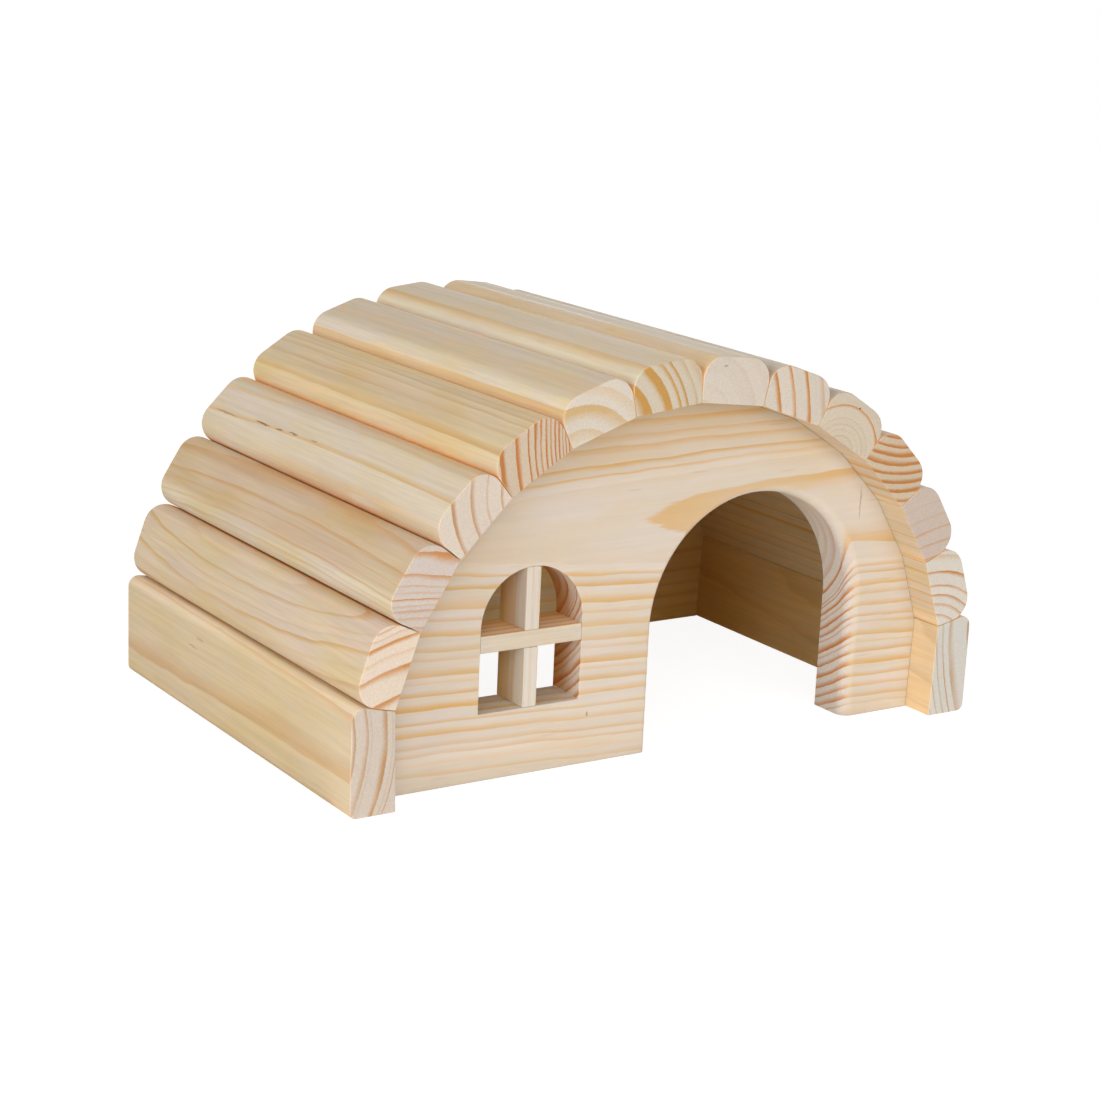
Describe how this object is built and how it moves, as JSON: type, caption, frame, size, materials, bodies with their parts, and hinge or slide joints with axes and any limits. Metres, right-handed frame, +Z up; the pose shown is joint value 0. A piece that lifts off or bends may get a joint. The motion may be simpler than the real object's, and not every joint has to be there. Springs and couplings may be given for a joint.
{
  "type": "hamster house",
  "caption": "Barrel-roofed wooden hamster house: rounded roof logs glued over arched end panels between side boards, with an open arched doorway and an arched window with a glazing cross.",
  "frame": {"origin": "middle of the floor plan, on the floor that the house stands on", "axes": "+X to the right seen from the front, along the house's longest side; the front panel faces -Y; +Z up"},
  "size_m": [0.19, 0.128, 0.1035],
  "materials": {
    "panel_pine": "planed and sanded, unfinished",
    "log_pine": "moulded and sanded, unfinished",
    "board_pine": "planed and sanded, unfinished",
    "bar_pine": "sanded, unfinished"
  },
  "bodies": {
    "root": {"front_panel": "panel_pine", "back_panel": "panel_pine", "side_board_left": "board_pine", "side_board_right": "board_pine", "roof_log_01": "log_pine", "roof_log_02": "log_pine", "roof_log_03": "log_pine", "roof_log_04": "log_pine", "roof_log_05": "log_pine", "roof_log_06": "log_pine", "roof_log_07": "log_pine", "roof_log_08": "log_pine", "roof_log_09": "log_pine", "roof_log_10": "log_pine", "roof_log_11": "log_pine", "roof_log_12": "log_pine", "window_bar_horizontal": "bar_pine", "window_bar_vertical": "bar_pine"}
  },
  "joints": []
}
